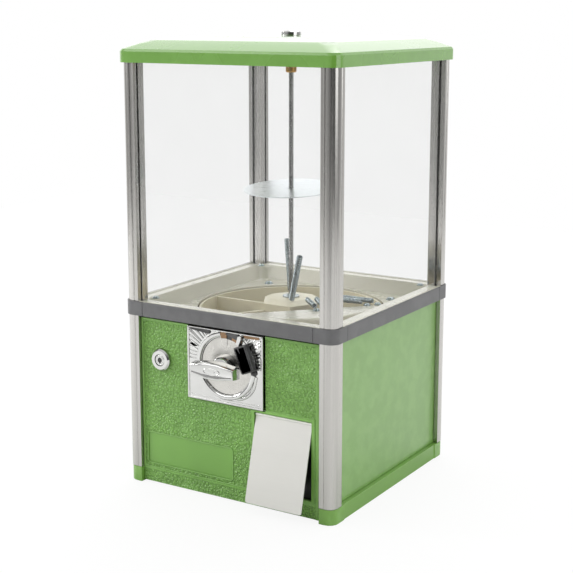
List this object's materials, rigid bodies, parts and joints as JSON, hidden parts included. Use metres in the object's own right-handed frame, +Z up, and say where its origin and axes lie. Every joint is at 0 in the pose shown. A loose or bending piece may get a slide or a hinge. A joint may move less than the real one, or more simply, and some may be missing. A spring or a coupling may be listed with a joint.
{
  "type": "candy bulk dispenser",
  "caption": "Countertop bulk candy vending machine: clear square hopper over a green body, with a coin mechanism that turns a pocketed wheel and a flapped chute.",
  "frame": {"origin": "centre of the base's underside, on the centre rod's axis", "axes": "+Z up, the door faces -Y, +X to the right seen from the front"},
  "size_m": [0.2562, 0.2781, 0.4708],
  "materials": {
    "green_body": "smooth satin green",
    "green_door": "pebble-grained green",
    "grey_band": "satin mid grey",
    "post_aluminium": "satin extruded",
    "clear_sheet": "clear sheet",
    "cream_tray": "glossy cream",
    "ivory_wheel": "satin ivory",
    "black_plastic": "black",
    "chrome_plate": "polished plate",
    "zinc_metal": "bright zinc",
    "satin_steel": "satin",
    "brass_nut": "plain brass"
  },
  "bodies": {
    "cabinet": {"base_tray": "green_body", "side_panel_left": "green_body", "side_panel_right": "green_body", "rear_panel": "green_body", "hopper_tray": "cream_tray", "brush_housing": "cream_tray", "wheel_platform": "grey_band", "candy_chute": "grey_band", "coin_box": "black_plastic", "coin_cover": "black_plastic", "mech_faceplate": "chrome_plate", "mech_housing": "zinc_metal", "coin_spout": "zinc_metal", "door_hinge_pin_lower": "zinc_metal", "door_hinge_pin_upper": "zinc_metal", "centre_rod": "zinc_metal", "rod_lower_nut": "zinc_metal", "rod_washer": "zinc_metal", "baffle_collar": "zinc_metal", "baffle_disc": "satin_steel", "strike_spring_a": "zinc_metal", "strike_spring_b": "zinc_metal", "strike_spring_c": "zinc_metal", "strike_spring_d": "zinc_metal", "band_rail_front": "grey_band", "clear_panel_front": "clear_sheet", "band_rail_rear": "grey_band", "clear_panel_rear": "clear_sheet", "band_rail_left": "grey_band", "clear_panel_left": "clear_sheet", "band_rail_right": "grey_band", "clear_panel_right": "clear_sheet", "band_corner_front_left": "grey_band", "corner_post_front_left": "post_aluminium", "band_corner_front_right": "grey_band", "corner_post_front_right": "post_aluminium", "band_corner_rear_left": "grey_band", "corner_post_rear_left": "post_aluminium", "band_corner_rear_right": "grey_band", "corner_post_rear_right": "post_aluminium"},
    "handle": {"turn_handle": "chrome_plate", "handle_shaft": "zinc_metal", "coin_dial": "satin_steel", "coin_carrier": "satin_steel", "drive_gear": "zinc_metal"},
    "wheel": {"dispensing_wheel": "ivory_wheel", "agitator_spring_a": "zinc_metal", "agitator_spring_b": "zinc_metal"},
    "door": {"front_door": "green_door", "door_lock_body": "chrome_plate", "flap_hinge_pin": "zinc_metal"},
    "door_lock": {"door_lock_plug": "chrome_plate", "door_lock_cam": "zinc_metal"},
    "flap": {"chute_flap": "satin_steel"},
    "lid": {"lid": "green_body", "lid_lock_body": "chrome_plate"},
    "lid_lock": {"lid_lock_plug": "chrome_plate", "rod_nut": "brass_nut"}
  },
  "joints": [
    {"name": "handle_turn", "type": "hinge", "parent": "cabinet", "child": "handle", "pos_m": [0, -0.1233, 0.1426], "axis": [0, 1, 0], "continuous": true},
    {"name": "wheel_turn", "type": "hinge", "parent": "cabinet", "child": "wheel", "pos_m": [0, 0, 0.157], "axis": [0, 0, 1], "continuous": true},
    {"name": "door_swing", "type": "hinge", "parent": "cabinet", "child": "door", "pos_m": [0.1045, -0.1175, 0.09], "axis": [0, 0, 1], "range_deg": [0, 65]},
    {"name": "door_lock_turn", "type": "hinge", "parent": "door", "child": "door_lock", "pos_m": [-0.0824, -0.1075, 0.1366], "axis": [0, 1, 0], "range_deg": [0, 90]},
    {"name": "flap_swing", "type": "hinge", "parent": "door", "child": "flap", "pos_m": [0.0648, -0.1177, 0.0974], "axis": [-1, 0, 0], "range_deg": [0, 60]},
    {"name": "lid_lift", "type": "slide", "parent": "cabinet", "child": "lid", "axis": [0, 0, 1], "range_m": [0, 0.06]},
    {"name": "lid_lock_turn", "type": "hinge", "parent": "lid", "child": "lid_lock", "pos_m": [0, 0, 0.46], "axis": [0, 0, 1], "continuous": true}
  ],
  "couplings": [
    {"joint": "wheel_turn", "follows": "handle_turn", "ratio": 0.16667}
  ]
}
